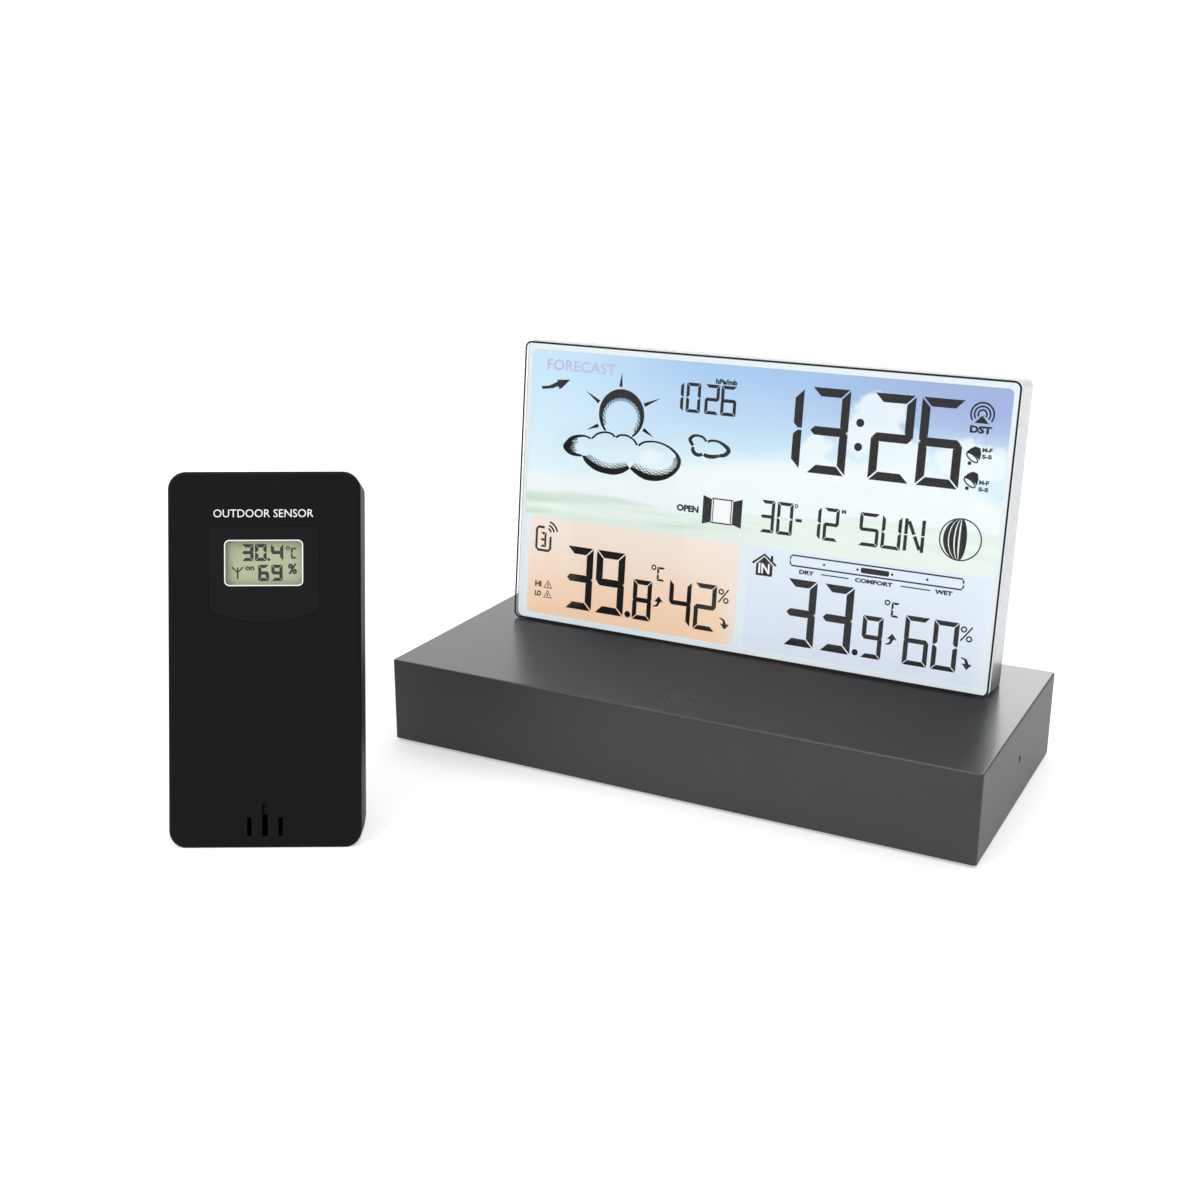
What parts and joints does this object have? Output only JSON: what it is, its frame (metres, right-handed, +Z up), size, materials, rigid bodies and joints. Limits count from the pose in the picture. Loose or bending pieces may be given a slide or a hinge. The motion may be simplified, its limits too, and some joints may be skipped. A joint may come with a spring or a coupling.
{
  "type": "home weather station",
  "caption": "Desk weather station: a flat dark base holds a clear upright panel with a colour display, beside a small wireless outdoor sensor leaning back on a fold-out stand.",
  "frame": {"origin": "on the table, below the middle of the set's bounding box", "axes": "+X to the right seen from the console's front, +Y towards the console's back, +Z up; the console faces -Y"},
  "size_m": [0.2132, 0.17, 0.1154],
  "materials": {
    "base_shell": "satin dark grey, fine soft-touch grain",
    "key_plastic": "satin grey",
    "rubber_black": "matt",
    "steel": "bright plated",
    "cell_jacket": "printed film over a metal can",
    "board_green": "solder mask",
    "chip_black": "moulded epoxy",
    "socket_plastic": "moulded connector",
    "ribbon": "polyimide film",
    "shield": "tinned can",
    "ferrite": "sintered",
    "copper": "enamelled wire",
    "white_plastic": "diffusing white",
    "clear": "polished clear",
    "clear_front": "polished clear",
    "display": "lit colour picture",
    "film": "printed colour film",
    "lamp": "white lamp packages",
    "sensor_case": "satin black, light texture",
    "sensor_inset": "semi-gloss black",
    "sensor_window": "clear",
    "sensor_lcd": "grey-green liquid crystal"
  },
  "bodies": {
    "console": {"base_housing": "base_shell", "base_cover": "base_shell", "batteries": "cell_jacket", "battery_springs": "steel", "battery_contacts": "steel", "base_screws": "steel", "rubber_feet": "rubber_black", "main_board": "board_green", "board_screws": "steel", "controller_chips": "chip_black", "ribbon_socket": "socket_plastic", "display_ribbon": "ribbon", "radio_module": "shield", "ferrite_rod": "ferrite", "ferrite_coil": "copper", "sounder": "chip_black", "room_sensor": "board_green", "touch_plate": "copper", "touch_spring": "steel", "tact_switches": "chip_black", "dimmer_switch": "shield", "power_socket": "chip_black", "reset_switch": "chip_black", "panel_bracket": "chip_black", "bracket_screws": "steel", "light_board": "board_green", "light_lamps": "lamp", "light_guide": "clear", "front_sheet": "clear_front", "display_cell": "display", "colour_film": "film", "diffuser_sheet": "white_plastic", "rear_reflector": "white_plastic", "key_board": "board_green"},
    "battery_door": {"battery_door": "base_shell"},
    "dimmer_knob": {"dimmer_knob": "key_plastic"},
    "reset_button": {"reset_button": "white_plastic"},
    "key_mode": {"key_mode": "key_plastic"},
    "key_alarm": {"key_alarm": "key_plastic"},
    "key_down": {"key_down": "key_plastic"},
    "key_up": {"key_up": "key_plastic"},
    "key_channel": {"key_channel": "key_plastic"},
    "key_unit": {"key_unit": "key_plastic"},
    "sensor": {"sensor_front": "sensor_case", "sensor_rear": "sensor_case", "sensor_plate": "sensor_inset", "sensor_window": "sensor_window", "sensor_display": "sensor_lcd", "sensor_board": "board_green", "sensor_probe": "chip_black", "sensor_cells": "cell_jacket", "sensor_springs": "steel", "sensor_contacts": "steel", "sensor_pin": "steel", "sensor_screws": "steel", "sensor_switches": "chip_black"},
    "sensor_door": {"sensor_door": "sensor_case"},
    "sensor_stand": {"sensor_stand": "sensor_case"},
    "channel_knob": {"channel_knob": "white_plastic"},
    "send_button": {"send_button": "white_plastic"}
  },
  "joints": [
    {"name": "battery_door_slide", "type": "slide", "parent": "console", "child": "battery_door", "axis": [0, 1, 0], "range_m": [0, 0.045]},
    {"name": "dimmer_slide", "type": "slide", "parent": "console", "child": "dimmer_knob", "axis": [1, 0, 0], "range_m": [-0.0024, 0.0024]},
    {"name": "reset_press", "type": "slide", "parent": "console", "child": "reset_button", "axis": [-1, 0, 0], "range_m": [0, 0.0005], "stiffness_N_per_m": 300, "springref_m": -0.001},
    {"name": "press_mode", "type": "slide", "parent": "console", "child": "key_mode", "axis": [0, -1, 0], "range_m": [0, 0.0008], "stiffness_N_per_m": 300, "springref_m": -0.001},
    {"name": "press_alarm", "type": "slide", "parent": "console", "child": "key_alarm", "axis": [0, -1, 0], "range_m": [0, 0.0008], "stiffness_N_per_m": 300, "springref_m": -0.001},
    {"name": "press_down", "type": "slide", "parent": "console", "child": "key_down", "axis": [0, -1, 0], "range_m": [0, 0.0008], "stiffness_N_per_m": 300, "springref_m": -0.001},
    {"name": "press_up", "type": "slide", "parent": "console", "child": "key_up", "axis": [0, -1, 0], "range_m": [0, 0.0008], "stiffness_N_per_m": 300, "springref_m": -0.001},
    {"name": "press_channel", "type": "slide", "parent": "console", "child": "key_channel", "axis": [0, -1, 0], "range_m": [0, 0.0008], "stiffness_N_per_m": 300, "springref_m": -0.001},
    {"name": "press_unit", "type": "slide", "parent": "console", "child": "key_unit", "axis": [0, -1, 0], "range_m": [0, 0.0008], "stiffness_N_per_m": 300, "springref_m": -0.001},
    {"name": "sensor_lift", "type": "slide", "parent": "console", "child": "sensor", "axis": [0, 0, 1], "range_m": [0, 0.13]},
    {"name": "sensor_stand_fold", "type": "hinge", "parent": "sensor", "child": "sensor_stand", "pos_m": [-0.0759, -0.04937, 0.02542], "axis": [0.8788, 0.4772, 0], "range_deg": [-32.4, 0]},
    {"name": "sensor_door_open", "type": "hinge", "parent": "sensor", "child": "sensor_door", "pos_m": [-0.07715, -0.04706, 0.03276], "axis": [-0.8788, -0.4772, 0], "range_deg": [0, 100]},
    {"name": "channel_slide", "type": "slide", "parent": "sensor", "child": "channel_knob", "axis": [-0.149, 0.2745, 0.95], "range_m": [-0.002, 0.002]},
    {"name": "send_press", "type": "slide", "parent": "sensor", "child": "send_button", "axis": [0.4533, -0.8349, 0.3123], "range_m": [0, 0.0004], "stiffness_N_per_m": 300, "springref_m": -0.001}
  ]
}
